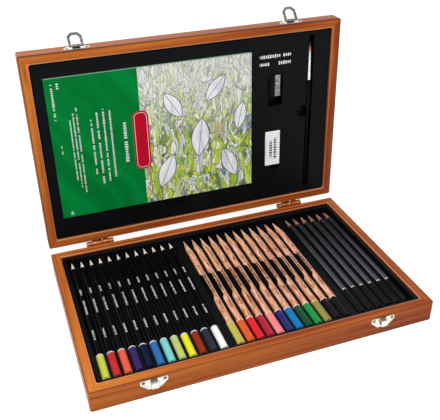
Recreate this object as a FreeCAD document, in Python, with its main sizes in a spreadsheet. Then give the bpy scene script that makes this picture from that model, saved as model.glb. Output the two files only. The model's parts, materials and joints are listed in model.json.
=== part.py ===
"""A hinged wooden pencil box, standing open, with its fittings and contents.

Millimetres, +Z up, +Y towards the hinges, origin at the middle of the underside.
The base and its contents are drawn where they stand.  The lid and its contents are
drawn in the lid's own frame, which is the base's frame for a lid lying on its back
(outer panel down, rim up, hinge edge towards -Y), and are then placed by LID.
"""

import FreeCAD
import Part
import math
import os
import re

import Sketcher

Vector = FreeCAD.Vector
Rotation = FreeCAD.Rotation
Placement = FreeCAD.Placement

# Driving dimensions, in millimetres and degrees.
SIZES = {
    # wooden case
    "box_width": 328,
    "box_depth": 206,
    "base_height": 22,
    "lid_height": 17,
    "rail_thickness": 9,
    "outer_corner": 2,
    "inner_corner": 2.5,
    "arris": 0.9,
    "panel_thickness": 3,
    "rabbet_width": 4,
    "opening_angle": 92,
    # moulded trays
    "tray_gap": 0.6,
    "tray_sheet": 0.8,
    "tray_corner": 5,
    "tray_round": 1.2,
    "base_tray_drop": 2,
    "bed_height": 15.7,
    "bed_width": 301.2,
    "bed_depth": 179.2,
    "lid_tray_drop": 2.5,
    "recess_clearance": 0.8,
    # pencils
    "pencil_pitch": 9.6,
    "group_gap": 6.2,
    "pencil_axis": 14.5,
    "pencil_front": -86,
    "round_radius": 3.5,
    "hex_radius": 3.9,
    "groove_clearance": 0.3,
    "point_length": 22,
    "point_tip": 0.35,
    "colour_length": 175,
    "watercolour_length": 172.5,
    "sketching_length": 172.5,
    # hinges
    "hinge_spacing": 222,
    "hinge_offset": 3.6,
    "hinge_length": 29,
    "leaf_thickness": 0.9,
    "leaf_reach": 14,
    "leaf_start": 3.4,
    "barrel_radius": 2.9,
    "pin_radius": 1.5,
    "pin_clearance": 0.05,
    "knuckle_gap": 0.3,
    "stop_width": 4.4,
    "stop_gap": 0.08,
    # catches
    "catch_spacing": 218,
    "catch_width": 24,
    "catch_height": 10.6,
    "catch_foot": 10.4,
    "ear_height": 4.4,
    "ear_nail": 2.2,
    "catch_sheet": 0.6,
    "catch_lip": 1.8,
    "catch_pivot_out": 2.8,
    "catch_pivot_back": 4.2,
    "catch_curl_radius": 1.45,
    "catch_curl_length": 7,
    "tongue_length": 5.6,
    "loop_bar_radius": 0.7,
    "loop_width": 14,
    "loop_length": 14.8,
    "loop_band": 2.5,
    "loop_shoulder": 4.2,
    "loop_thickness": 1.2,
    "left_loop_lean": 52,
    "right_loop_lean": 41,
    "keeper_top": 2.2,
    "hook_width": 6,
    "hook_out": 4.6,
    "hook_sheet": 0.8,
    # nails
    "nail_radius": 0.6,
    "nail_head_radius": 1.2,
    "nail_head": 0.5,
    "nail_length": 6,
    "nail_clearance": 0.02,
    # drawing pad
    "pad_width": 210,
    "pad_height": 150,
    "pad_left": -144.6,
    "pad_low": -71.5,
    "pad_thickness": 8,
    "pad_cover": 0.6,
    "pad_board": 1.2,
    # sharpener
    "sharpener_x": 92,
    "sharpener_y": 39,
    "sharpener_width": 15.4,
    "sharpener_length": 25.4,
    "sharpener_height": 9,
    "sharpener_mouth": 4.1,
    "sharpener_exit": 0.9,
    "blade_x": 94,
    "blade_width": 7.6,
    "blade_length": 23,
    "blade_thickness": 0.6,
    # eraser
    "eraser_x": 90.2,
    "eraser_y": -32.8,
    "eraser_width": 17.4,
    "eraser_length": 40.6,
    "eraser_height": 9.5,
    # brush
    "brush_x": 132.2,
    "brush_tip": 81,
    "bristle_length": 11,
    "bristle_radius": 1.7,
    "ferrule_length": 30,
    "ferrule_radius": 2.5,
    "ferrule_sheet": 0.25,
    "handle_length": 125,
    "handle_radius": 2.9,
    "handle_end": 1.1,
    "tenon_length": 8,
    "brush_axis": 11.2,
}

DOC = FreeCAD.newDocument("pencil_box")
NODES = []


def fill_sheet():
    """Write each driving dimension in a row of its own: its name, and its value with an alias."""
    sheet = DOC.addObject("Spreadsheet::Sheet", "Sizes")
    for row, (alias, value) in enumerate(SIZES.items(), start=1):
        sheet.set(f"A{row}", alias)
        sheet.set(f"B{row}", str(value))
        sheet.setAlias(f"B{row}", alias)
    DOC.recompute()
    return sheet


def on_sheet(expression):
    """An expression in aliases, as other objects of the document have to write it."""
    return re.sub(
        r"[a-z]+(?:_[a-z]+)+|arris",
        lambda found: f"Sizes.{found.group()}",
        str(expression),
    )


def value(expression):
    return float(SHEET.evalExpression(on_sheet(expression)))


def bind(target, **expressions):
    for name, expression in expressions.items():
        target.setExpression(name, on_sheet(expression))


SHEET = fill_sheet()


# ---------------------------------------------------------------- helpers: solids


def solid(kind, name, at=("0", "0", "0"), turn=None, **sizes):
    """A Part primitive whose sizes and base point follow the sheet."""
    made = DOC.addObject("Part::" + kind, name)
    if turn:
        made.Placement = Placement(Vector(), turn)
    for axis, expression in zip("xyz", at):
        made.setExpression(f"Placement.Base.{axis}", on_sheet(expression))
    bind(made, **sizes)
    return made


def block(name, x, y, z):
    """A box given by its low and high expression along each axis."""
    return solid(
        "Box",
        name,
        at=(x[0], y[0], z[0]),
        Length=f"({x[1]}) - ({x[0]})",
        Width=f"({y[1]}) - ({y[0]})",
        Height=f"({z[1]}) - ({z[0]})",
    )


ALONG_X = Rotation(Vector(0, 1, 0), 90)
ALONG_Y = Rotation(Vector(1, 0, 0), -90)


def cylinder(name, at, turn, radius, length):
    return solid("Cylinder", name, at=at, turn=turn, Radius=radius, Height=length)


def cone(name, at, turn, first, second, length):
    return solid("Cone", name, at=at, turn=turn, Radius1=first, Radius2=second, Height=length)


def fuse(name, *shapes):
    made = DOC.addObject("Part::MultiFuse", name)
    made.Shapes = list(shapes)
    made.Refine = True
    return made


def common(name, *shapes):
    made = DOC.addObject("Part::MultiCommon", name)
    made.Shapes = list(shapes)
    return made


def cut(name, base, *tools):
    made = DOC.addObject("Part::Cut", name)
    made.Base = base
    made.Tool = tools[0] if len(tools) == 1 else group(name + "_tools", *tools)
    return made


def group(name, *shapes):
    """Several separate solids as one object."""
    made = DOC.addObject("Part::Compound", name)
    made.Links = list(shapes)
    return made


def node(label, made, place=None):
    """Name a finished piece and, if it belongs to the lid, put it where the lid stands."""
    made.Label = label
    if place:
        made.Placement = place
    NODES.append(made)
    return made


# ---------------------------------------------------------------- helpers: PartDesign


def new_body(name):
    return DOC.addObject("PartDesign::Body", name)


def sketch(body, name, plane="XY", lift="0"):
    """A sketch on one of the body's own origin planes, lifted along the plane's normal."""
    made = body.newObject("Sketcher::SketchObject", name)
    role = plane + "_Plane"
    origin_plane = next(f for f in body.Origin.OriginFeatures if f.Role == role)
    made.AttachmentSupport = [(origin_plane, "")]
    made.MapMode = "FlatFace"
    made.setExpression("AttachmentOffset.Base.z", on_sheet(lift))
    return made


def set_point(made, geometry, end, x, y):
    """Hold one point of a sketch at expressions for its x and y."""
    for kind, expression in (("DistanceX", x), ("DistanceY", y)):
        constraint = Sketcher.Constraint(kind, geometry, end, value(expression))
        index = made.addConstraint(constraint)
        made.setExpression(f"Constraints[{index}]", on_sheet(expression))


def polygon(made, corners):
    """A closed outline through corners, each an (x, y) pair of expressions."""
    points = [Vector(value(x), value(y), 0) for x, y in corners]
    first = made.GeometryCount
    for start, end in zip(points, points[1:] + points[:1]):
        made.addGeometry(Part.LineSegment(start, end))
    for i, (x, y) in enumerate(corners):
        before = first + (i - 1) % len(corners)
        made.addConstraint(Sketcher.Constraint("Coincident", before, 2, first + i, 1))
        set_point(made, first + i, 1, x, y)


def rectangle(made, x, y):
    polygon(made, [(x[0], y[0]), (x[1], y[0]), (x[1], y[1]), (x[0], y[1])])


def circle(made, x, y, radius):
    centre = Vector(value(x), value(y), 0)
    index = made.addGeometry(Part.Circle(centre, Vector(0, 0, 1), value(radius)))
    set_point(made, index, 3, x, y)
    made.addConstraint(Sketcher.Constraint("Radius", index, value(radius)))
    made.setExpression(f"Constraints[{made.ConstraintCount - 1}]", on_sheet(radius))


def channel(made, x, y, radius, top):
    """A U outline: a half circle below (x, y), and straight sides up to the top."""
    centre = Vector(value(x), value(y), 0)
    low = Part.Circle(centre, Vector(0, 0, 1), value(radius))
    arc = made.addGeometry(Part.ArcOfCircle(low, math.pi, 2 * math.pi))
    left, right = f"{x} - ({radius})", f"{x} + ({radius})"
    corners = [(right, y), (right, top), (left, top), (left, y)]
    points = [Vector(value(a), value(b), 0) for a, b in corners]
    for i, (start, end) in enumerate(zip(points, points[1:])):
        side = made.addGeometry(Part.LineSegment(start, end))
        made.addConstraint(Sketcher.Constraint("Coincident", side - 1, 2, side, 1))
        set_point(made, side, 2, *corners[i + 1])
    made.addConstraint(Sketcher.Constraint("Coincident", side, 2, arc, 1))
    set_point(made, arc, 2, *corners[0])


def feature(body, kind, name, profile, **sizes):
    """A sketch-based feature; a Pocket must take material away and a Pad must add it."""
    before = body.Shape.Volume if body.Tip else 0
    made = body.newObject("PartDesign::" + kind, name)
    made.Profile = profile
    for option in ("Midplane", "Reversed"):
        if option in sizes:
            setattr(made, option, sizes.pop(option))
    bind(made, **sizes)
    DOC.recompute()
    grown = body.Shape.Volume - before
    if (grown > 0) != (kind == "Pad"):
        raise ValueError(f"{name} changed the volume by {grown:.3f}")
    return made


def repeat(body, name, pocket, profile, count, step):
    """The same cut again along the sketch's horizontal axis."""
    made = body.newObject("PartDesign::LinearPattern", name)
    made.Originals = [pocket]
    made.Direction = (profile, ["H_Axis"])
    made.Occurrences = count
    bind(made, Length=f"({step}) * {count - 1}")
    body.Tip = made
    DOC.recompute()
    return made


def round_edges(body, name, radius, wanted):
    """Fillet the edges of the body's tip for which wanted(edge's box) holds."""
    base = body.Tip
    names = [f"Edge{i}" for i, edge in enumerate(base.Shape.Edges, start=1) if wanted(edge.BoundBox)]
    if not names:
        raise ValueError(f"{name} finds no edge")
    made = body.newObject("PartDesign::Fillet", name)
    made.Base = (base, names)
    bind(made, Radius=radius)
    DOC.recompute()
    return made


def upright(box):
    return box.ZLength > 0.5 and box.XLength < 0.01 and box.YLength < 0.01


def level_at(height):
    z = value(height)
    return lambda box: abs(box.ZMin - z) < 0.01 and abs(box.ZMax - z) < 0.01


# ---------------------------------------------------------------- wooden case

HALF_W = "box_width / 2"
HALF_D = "box_depth / 2"
INNER_W = "(box_width / 2 - rail_thickness)"
INNER_D = "(box_depth / 2 - rail_thickness)"


def both_ways(half):
    return (f"-({half})", f"{half}")


def case_frame(name, height):
    """The four rails in one piece: rounded outside, open inside, rebated for the panel."""
    body = new_body(name)
    outline = sketch(body, name + "_outline")
    rectangle(outline, both_ways(HALF_W), both_ways(HALF_D))
    feature(body, "Pad", name + "_block", outline, Length=height)
    round_edges(body, name + "_corners", "outer_corner", upright)
    top, bottom = level_at(height), level_at("0")
    round_edges(body, name + "_arrises", "arris", lambda box: top(box) or bottom(box))
    hollow = sketch(body, name + "_hollow", lift=height)
    rectangle(hollow, both_ways(INNER_W), both_ways(INNER_D))
    feature(body, "Pocket", name + "_inside", hollow, Length=height)
    inner = value(INNER_W)
    round_edges(
        body,
        name + "_inner_corners",
        "inner_corner",
        lambda box: upright(box) and abs(abs(box.XMin) - inner) < 0.01,
    )
    round_edges(
        body,
        name + "_inner_arrises",
        "arris * 0.6",
        lambda box: top(box) and abs(box.XMin) < inner + 0.01 and abs(box.XMax) < inner + 0.01,
    )
    rebate = sketch(body, name + "_rebate_outline", lift="panel_thickness")
    rectangle(
        rebate,
        both_ways(f"{INNER_W} + rabbet_width"),
        both_ways(f"{INNER_D} + rabbet_width"),
    )
    feature(body, "Pocket", name + "_rebate", rebate, Length="panel_thickness")
    return body


def mitre_wedge(name, length, breadth, angle):
    """The region of one rail: a tapered block with its slopes through two corners."""
    reach = "rail_thickness * 2"
    return solid(
        "Wedge",
        name,
        turn=Rotation(Vector(0, 0, 1), angle),
        Xmin=f"-{length} / 2",
        Xmax=f"{length} / 2",
        Ymin=f"-{breadth} / 2",
        Ymax=f"-{breadth} / 2 + {reach}",
        X2min=f"-{length} / 2 + {reach}",
        X2max=f"{length} / 2 - {reach}",
        Zmin="-1",
        Zmax="base_height + 1",
        Z2min="-1",
        Z2max="base_height + 1",
    )


WEDGES = {
    "front": ("box_width", "box_depth", 0),
    "right": ("box_depth", "box_width", 90),
    "back": ("box_width", "box_depth", 180),
    "left": ("box_depth", "box_width", -90),
}


def case_rails(prefix, frame, nail_holes, place=None, swapped=False):
    """Cut the frame into its mitred rails and drill those that carry fittings."""
    for side, (length, breadth, angle) in WEDGES.items():
        wedge = mitre_wedge(f"{prefix}_{side}_mitre", length, breadth, angle)
        rail = common(f"{prefix}_{side}_blank", frame, wedge)
        if side in nail_holes:
            rail = cut(f"{prefix}_{side}_drilled", rail, *nail_holes[side])
        name = {"front": "back", "back": "front"}.get(side, side) if swapped else side
        node(f"{prefix}_{name}_rail", rail, place)


def case_panel(prefix, label, place=None):
    half_width = both_ways(f"{INNER_W} + rabbet_width")
    half_depth = both_ways(f"{INNER_D} + rabbet_width")
    panel = block(prefix + "_board", half_width, half_depth, ("0", "panel_thickness"))
    node(label, group(prefix + "_panel", panel), place)


def lid_placement():
    """The lid's own frame, turned about the hinge axis until it stands open."""
    axis_in_base = Vector(0, value(f"{HALF_D} + hinge_offset"), value("base_height"))
    axis_in_lid = Vector(0, value(f"-{HALF_D} - hinge_offset"), value("lid_height"))
    turn = Rotation(Vector(1, 0, 0), 180 - value("opening_angle"))
    return Placement(axis_in_base, turn).multiply(Placement(-axis_in_lid, Rotation()))


LID = lid_placement()


# ---------------------------------------------------------------- nails


def nail(name, x, y, z, outward):
    """A domed nail driven along Y; y is the plate's outer face, outward its side, -1 or 1."""
    head_low = y if outward > 0 else f"({y}) - nail_head"
    shank_low = f"({y}) - nail_length" if outward > 0 else y
    shank = cylinder(name + "_shank", (x, shank_low, z), ALONG_Y, "nail_radius", "nail_length")
    wide, narrow = "nail_head_radius", "nail_head_radius * 0.55"
    first, second = (wide, narrow) if outward > 0 else (narrow, wide)
    head = cone(name + "_head", (x, head_low, z), ALONG_Y, first, second, "nail_head")
    return fuse(name, shank, head)


def nail_hole(name, x, y, z, outward):
    low = f"({y}) - nail_length - nail_clearance" if outward > 0 else f"({y}) - 1"
    radius, length = "nail_radius + nail_clearance", "nail_length + nail_clearance + 1"
    return cylinder(name, (x, low, z), ALONG_Y, radius, length)


def nail_row(name, xs, y, z, outward):
    """Matching nails and holes at several x, as two lists."""
    nails = [nail(f"{name}_nail_{i}", x, y, z, outward) for i, x in enumerate(xs, start=1)]
    holes = [nail_hole(f"{name}_hole_{i}", x, y, z, outward) for i, x in enumerate(xs, start=1)]
    return nails, holes


def pair_of(spacing, offset):
    """Nail places to both sides of two fittings that stand spacing apart."""
    return [f"{side} * {spacing} / 2 + {way} * ({offset})" for side in (-1, 1) for way in (-1, 1)]


# ---------------------------------------------------------------- hinges


def hinge_leaf(name, knuckles, stop_reach):
    """One leaf about its own hinge axis: plate along -Z, wood at -Y, stop tab along +Y.

    knuckles are the places, of five along the barrel, that belong to this leaf.
    """
    half = "hinge_length / 2"
    face = ("-hinge_offset", "-hinge_offset + leaf_thickness")
    plate = block(name + "_plate", both_ways(half), face, ("-leaf_reach", "-leaf_start"))
    tab = block(
        name + "_stop",
        both_ways("stop_width / 2"),
        ("-hinge_offset", stop_reach),
        ("-leaf_start - leaf_thickness", "-leaf_start"),
    )
    parts = [plate, tab]
    for place in knuckles:
        low = f"hinge_length * {place} / 5 - {half} + knuckle_gap / 2"
        high = f"hinge_length * {place + 1} / 5 - {half} - knuckle_gap / 2"
        neck = block(f"{name}_neck_{place}", (low, high), face, ("-leaf_start", "0"))
        length = f"({high}) - ({low})"
        barrel = cylinder(f"{name}_barrel_{place}", (low, "0", "0"), ALONG_X, "barrel_radius", length)
        parts += [neck, barrel]
    bore = cylinder(
        name + "_bore",
        (f"-{half} - 1", "0", "0"),
        ALONG_X,
        "pin_radius + pin_clearance",
        "hinge_length + 2",
    )
    holes = [
        cylinder(
            f"{name}_nail_hole_{side}",
            (f"{side} * hinge_length / 3", "-hinge_offset - 1", HINGE_NAIL_Z),
            ALONG_Y,
            "nail_radius + nail_clearance",
            "leaf_thickness + 2",
        )
        for side in (-1, 1)
    ]
    return cut(name, fuse(name + "_sheet", *parts), bore, *holes)


HINGE_NAIL_Z = "-(leaf_reach + leaf_start + leaf_thickness) / 2"


def moved(name, shape, placement):
    """A copy of an object at another place, which follows the original."""
    made = DOC.addObject("Part::Compound", name)
    made.Links = [shape]
    made.Placement = placement
    return made


def leaf_pair(name, leaf, y, z, turn):
    places = [Vector(side * value("hinge_spacing") / 2, value(y), value(z)) for side in (-1, 1)]
    copies = [
        moved(f"{name}_{i}", leaf, Placement(place, turn)) for i, place in enumerate(places, start=1)
    ]
    return group(name, *copies)


def hinges():
    """Two stop hinges: each lid leaf's tab lands on its base leaf's tab at the opening angle."""
    base_leaf = hinge_leaf("base_leaf", (0, 2, 4), "leaf_start + leaf_thickness + 0.8")
    lean = "(opening_angle - 90)"
    stop_reach = (
        f"(leaf_start - stop_gap - (leaf_start + leaf_thickness) * sin({lean} * 1deg))"
        f" / cos({lean} * 1deg)"
    )
    lid_leaf = hinge_leaf("lid_leaf", (1, 3), stop_reach)
    axis_y = f"{HALF_D} + hinge_offset"
    node("hinge_base_leaves", leaf_pair("base_leaves", base_leaf, axis_y, "base_height", Rotation()))
    about_z = Rotation(Vector(0, 0, 1), 180)
    lid_leaves = leaf_pair("lid_leaves", lid_leaf, f"-({axis_y})", "lid_height", about_z)
    node("hinge_lid_leaves", lid_leaves, LID)
    pins = [
        cylinder(
            f"hinge_pin_{i}",
            (f"{side} * hinge_spacing / 2 - hinge_length / 2", axis_y, "base_height"),
            ALONG_X,
            "pin_radius",
            "hinge_length",
        )
        for i, side in enumerate((-1, 1), start=1)
    ]
    node("hinge_pins", group("pins", *pins))


# ---------------------------------------------------------------- catches


def plate_sheet(body, name, straight_edge, direction):
    """A catch's sheet, back on the XZ plane: two ears and a blunt foot, direction -1 for foot down."""
    half, edge = "catch_width / 2", straight_edge
    flat = sketch(body, name + "_outline", "XZ")
    ear = f"{edge} + {direction} * ear_height"
    foot = f"{edge} + {direction} * catch_height"
    polygon(
        flat,
        [
            (f"-({half})", edge),
            (half, edge),
            (half, ear),
            ("catch_foot / 2", foot),
            ("-catch_foot / 2", foot),
            (f"-({half})", ear),
        ],
    )
    feature(body, "Pad", name + "_sheet", flat, Length="catch_sheet")
    round_edges(body, name + "_rounding", "1.6", along_y)
    holes = sketch(body, name + "_nail_outline", "XZ", lift="-1")
    nail_z = f"{edge} + {direction} * ear_nail"
    for side in (-1, 1):
        circle(holes, f"{side} * {CATCH_NAIL_X}", nail_z, "nail_radius + nail_clearance")
    feature(body, "Pocket", name + "_nail_holes", holes, Length="3", Reversed=True)


CATCH_NAIL_X = "(catch_width / 2 - 2.6)"


def along_y(box):
    return box.YLength > 0.5 and box.XLength < 0.01 and box.ZLength < 0.01


def sheet_window(body, name, half_width, low, high):
    """The gap that a tongue leaves in the sheet where it is bent out."""
    outline = sketch(body, name + "_outline", "XZ", lift="-1")
    rectangle(outline, both_ways(half_width), (low, high))
    feature(body, "Pocket", name, outline, Length="3", Reversed=True)


def keeper_plate():
    """The base's plate, with a tongue bent out of it into a hook that noses downwards."""
    body = new_body("keeper")
    plate_sheet(body, "keeper", "0", -1)
    sheet_window(body, "keeper_window", "hook_width / 2", "-8.4", "-3.9")
    profile = sketch(body, "hook_outline", "YZ")
    out, back = "-hook_out", "-hook_out + hook_sheet"
    polygon(
        profile,
        [
            ("0", "-1.8"),
            (f"{out} + 1.8", "-2.7"),
            (out, "-4.6"),
            (out, "-7.6"),
            (back, "-7.6"),
            (back, "-5"),
            (f"{back} + 1.2", "-3.7"),
            ("0", "-2.8"),
        ],
    )
    feature(body, "Pad", "keeper_hook", profile, Length="hook_width", Midplane=True)
    bends = (value(f"{out} + 1.8"), value(out))
    round_edges(
        body,
        "hook_bends",
        "0.9",
        lambda box: box.XLength > 5 and box.ZMin > -4.7 and near(box.YMin, bends) and near(box.YMax, bends),
    )
    return body


def near(number, places):
    return any(abs(number - place) < 0.01 for place in places)


def catch_plate():
    """The lid's plate, with a tongue bent out of it and curled round the loop's bar."""
    body = new_body("catch_plate")
    plate_sheet(body, "catch_plate", "-catch_lip", 1)
    half = "catch_curl_length / 2 + 0.2"
    sheet_window(body, "catch_window", half, "0.8 - catch_lip", "tongue_length - 1.2")
    curl = sketch(body, "curl_outline", "YZ")
    circle(curl, "-catch_pivot_out", "0", "catch_curl_radius")
    feature(body, "Pad", "catch_curl", curl, Length="catch_curl_length", Midplane=True)
    tongue = sketch(body, "tongue_outline", "YZ")
    polygon(
        tongue,
        [
            ("-catch_pivot_out - catch_curl_radius * cos(30deg)", "catch_curl_radius / 2"),
            ("-catch_sheet", "tongue_length"),
            ("0", "tongue_length"),
            ("0", "tongue_length - 0.7"),
            ("-catch_pivot_out + 0.3", "catch_curl_radius - 0.3"),
            ("-catch_pivot_out", "0"),
        ],
    )
    feature(body, "Pad", "catch_tongue", tongue, Length="catch_curl_length", Midplane=True)
    bore = sketch(body, "curl_bore_outline", "YZ")
    circle(bore, "-catch_pivot_out", "0", "loop_bar_radius + pin_clearance")
    feature(body, "Pocket", "curl_bore", bore, Length="catch_width", Midplane=True)
    return body


def arch(made, half, low, shoulder, flat, high):
    """A loop's outline: upright legs, sloping shoulders and a flat top."""
    polygon(
        made,
        [
            (f"-({half})", low),
            (half, low),
            (half, shoulder),
            (flat, high),
            (f"-({flat})", high),
            (f"-({half})", shoulder),
        ],
    )


def catch_loop(name):
    """A stamped loop standing along +Z from its bar, which lies on the X axis."""
    body = new_body(name)
    half, shoulder = "loop_width / 2", "loop_length - loop_shoulder"
    flat = sketch(body, name + "_outline", "XZ")
    arch(flat, half, "-0.9", shoulder, f"{half} - loop_shoulder * 0.9", "loop_length")
    feature(body, "Pad", name + "_blank", flat, Length="loop_thickness", Midplane=True)
    round_edges(body, name + "_shoulders", "2.4", lambda box: along_y(box) and box.ZMin > 5)
    window = sketch(body, name + "_window_outline", "XZ")
    inner, setback = f"{half} - loop_band", "loop_band * tan(22deg)"
    inner_flat = f"{half} - loop_shoulder * 0.9 - {setback}"
    inner_top = "loop_length - loop_band"
    arch(window, inner, "0.9", f"{shoulder} - {setback}", inner_flat, inner_top)
    feature(body, "Pocket", name + "_window", window, Length="loop_thickness + 2", Midplane=True)
    across = sketch(body, name + "_bar_gap_outline", "XZ")
    rectangle(across, both_ways("catch_curl_length / 2 + 0.4"), ("-2", "1.2"))
    feature(body, "Pocket", name + "_bar_gap", across, Length="loop_thickness + 2", Midplane=True)
    bar = sketch(body, name + "_bar_outline", "YZ")
    circle(bar, "0", "0", "loop_bar_radius")
    feature(body, "Pad", name + "_bar", bar, Length="loop_width - 1", Midplane=True)
    return body


def catches():
    """Keepers on the base's front; plates and loops on the lid's front rail."""
    face = value(f"-{HALF_D}")
    xs = [side * value("catch_spacing") / 2 for side in (-1, 1)]
    keeper_z = value("base_height - keeper_top")
    keeper = keeper_plate()
    keepers = [
        moved(f"keeper_{i}", keeper, Placement(Vector(x, face, keeper_z), Rotation()))
        for i, x in enumerate(xs, start=1)
    ]
    node("keeper_plates", group("keepers", *keepers))
    plate = catch_plate()
    over = Rotation(Vector(1, 0, 0), 180)
    pivot_z = value("lid_height - catch_pivot_back")
    plates = [
        moved(f"catch_plate_{i}", plate, Placement(Vector(x, -face, pivot_z), over))
        for i, x in enumerate(xs, start=1)
    ]
    node("catch_plates", group("plates", *plates), LID)
    pivot_y = value(f"{HALF_D} + catch_pivot_out")
    for side, x in zip(("left", "right"), xs):
        loop = catch_loop(side + "_loop")
        fallen_back = Rotation(Vector(1, 0, 0), -90 - value(side + "_loop_lean"))
        pivot = Placement(Vector(x, pivot_y, pivot_z), fallen_back)
        node(side + "_catch_loop", loop, LID.multiply(pivot))


# ---------------------------------------------------------------- trays


def tray_block(name, height, drop, inset):
    """The outside of a moulded tray, or of the space under it when inset is the sheet."""
    body = new_body(name)
    under = "0" if inset == "0" else "1"
    outline = sketch(body, name + "_outline", lift=f"panel_thickness - {under}")
    rectangle(
        outline,
        both_ways(f"{INNER_W} - tray_gap - {inset}"),
        both_ways(f"{INNER_D} - tray_gap - {inset}"),
    )
    rise = f"{height} - {drop} - {inset} - panel_thickness + {under}"
    feature(body, "Pad", name + "_block", outline, Length=rise)
    round_edges(body, name + "_corners", f"tray_corner - {inset}", upright)
    return body


def recess(body, name, land, x, y, floor, inset, corner="2"):
    """A pocket in the tray's face, from the land down to the floor."""
    outline = sketch(body, name + "_outline", lift=f"{land} - {inset}")
    rectangle(
        outline,
        (f"{x[0]} - {inset}", f"{x[1]} + {inset}"),
        (f"{y[0]} - {inset}", f"{y[1]} + {inset}"),
    )
    earlier = {corner_key(e.BoundBox) for e in body.Shape.Edges}
    feature(body, "Pocket", name, outline, Length=f"{land} - ({floor})")
    if inset == "0":
        round_edges(
            body,
            name + "_corners",
            corner,
            lambda box: upright(box) and corner_key(box) not in earlier,
        )


def corner_key(box):
    return tuple(round(v, 2) for v in (box.XMin, box.YMin, box.ZMin, box.ZMax))


def well(body, name, land, x, y, radius, floor, inset):
    """A round finger well in the tray's face."""
    outline = sketch(body, name + "_outline", lift=f"{land} - {inset}")
    circle(outline, x, y, f"{radius} + {inset}")
    feature(body, "Pocket", name, outline, Length=f"{land} - ({floor})")


def groove_rows(body, name, inset):
    """Round-bottomed grooves for the three groups of pencils."""
    length = f"bed_depth - 0.6 + 2 * {inset}"
    for group_name, first, count, pencil_radius in PENCIL_GROUPS:
        outline = sketch(body, f"{name}_{group_name}_outline", "XZ")
        radius = f"{pencil_radius} + groove_clearance + {inset}"
        channel(outline, pencil_x(first), "pencil_axis", radius, "bed_height + 1")
        pocket = feature(body, "Pocket", f"{name}_{group_name}", outline, Length=length, Midplane=True)
        repeat(body, f"{name}_{group_name}_row", pocket, outline, count, "pencil_pitch")


# For each group: its name, its first place in the row, how many, and the radius of one.
PENCIL_GROUPS = (
    ("colour", 0, 12, "round_radius"),
    ("watercolour", 12, 12, "hex_radius"),
    ("sketching", 24, 6, "hex_radius"),
)


def pencil_x(index):
    """The x of one pencil's axis, as an expression: three groups centred on the box."""
    gaps = sum(1 for group in PENCIL_GROUPS if index >= group[1]) - 1
    return f"(pencil_pitch * ({index} - 14.5) + group_gap * ({gaps} - 1))"


def base_tray():
    """A thin tray: a raised rim round a bed of thirty grooves."""
    land = "base_height - base_tray_drop"
    forms = []
    for name, inset in (("base_tray_top", "0"), ("base_tray_under", "tray_sheet")):
        body = tray_block(name, "base_height", "base_tray_drop", inset)
        recess(
            body,
            name + "_bed",
            land,
            both_ways("bed_width / 2"),
            both_ways("bed_depth / 2"),
            "bed_height",
            inset,
        )
        if inset == "0":
            round_edges(body, name + "_rim", "tray_round", level_at(land))
        groove_rows(body, name + "_groove", inset)
        forms.append(body)
    node("base_tray", cut("base_tray_sheet", *forms))


LID_LAND = "(lid_height - lid_tray_drop)"
ROOM = "recess_clearance"
FLOOR = "(lid_height - lid_tray_drop - 9.6)"


def lid_recesses(body, name, inset):
    """Recesses for the pad, sharpener, eraser and brush, each with room for a fingertip."""
    pad_right, pad_top = "pad_left + pad_width", "pad_low + pad_height"
    recess(
        body,
        name + "_pad",
        LID_LAND,
        (f"pad_left - {ROOM}", f"{pad_right} + {ROOM}"),
        (f"pad_low - {ROOM}", f"{pad_top} + {ROOM}"),
        PAD_FLOOR,
        inset,
    )
    shelf = f"{PAD_FLOOR} + 4"
    well(body, name + "_pad_well", LID_LAND, "-25", "pad_low - 1", "11", shelf, inset)
    half = "sharpener_width / 2"
    recess(
        body,
        name + "_sharpener",
        LID_LAND,
        (f"sharpener_x - {half} - {ROOM}", f"sharpener_x + {half} + {ROOM}"),
        ("sharpener_y - 22.4", f"sharpener_y + sharpener_length / 2 + {ROOM}"),
        FLOOR,
        inset,
    )
    half = "eraser_width / 2"
    recess(
        body,
        name + "_eraser",
        LID_LAND,
        (f"eraser_x - {half} - {ROOM}", f"eraser_x + {half} + {ROOM}"),
        (f"eraser_y - eraser_length / 2 - {ROOM}", f"eraser_y + eraser_length / 2 + {ROOM}"),
        FLOOR,
        inset,
    )
    low = "eraser_y - eraser_length / 2"
    well(body, name + "_eraser_well", LID_LAND, "eraser_x + 3.6", f"{low} - 1.4", "5", FLOOR, inset)
    recess(
        body,
        name + "_brush",
        LID_LAND,
        ("brush_x - 3.4", "brush_x + 3.4"),
        (f"brush_tip - {BRUSH_LENGTH} - 2.5", "brush_tip + 8"),
        "brush_axis - 3.4",
        inset,
        corner="3",
    )
    well(body, name + "_brush_well", LID_LAND, "brush_x - 7", "6", "6.6", "brush_axis - 3.4", inset)


PAD_FLOOR = "(lid_height - lid_tray_drop - 1.3 - pad_thickness)"
BRUSH_LENGTH = "(bristle_length + ferrule_length + handle_length)"


def lid_tray():
    """A thin tray with one flat face and a recess for each thing that it holds."""
    forms = []
    for name, inset in (("lid_tray_top", "0"), ("lid_tray_under", "tray_sheet")):
        body = tray_block(name, "lid_height", "lid_tray_drop", inset)
        if inset == "0":
            round_edges(body, name + "_rim", "tray_round", level_at(LID_LAND))
        lid_recesses(body, name, inset)
        forms.append(body)
    node("lid_tray", cut("lid_tray_sheet", *forms), LID)


# ---------------------------------------------------------------- pencils


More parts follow.
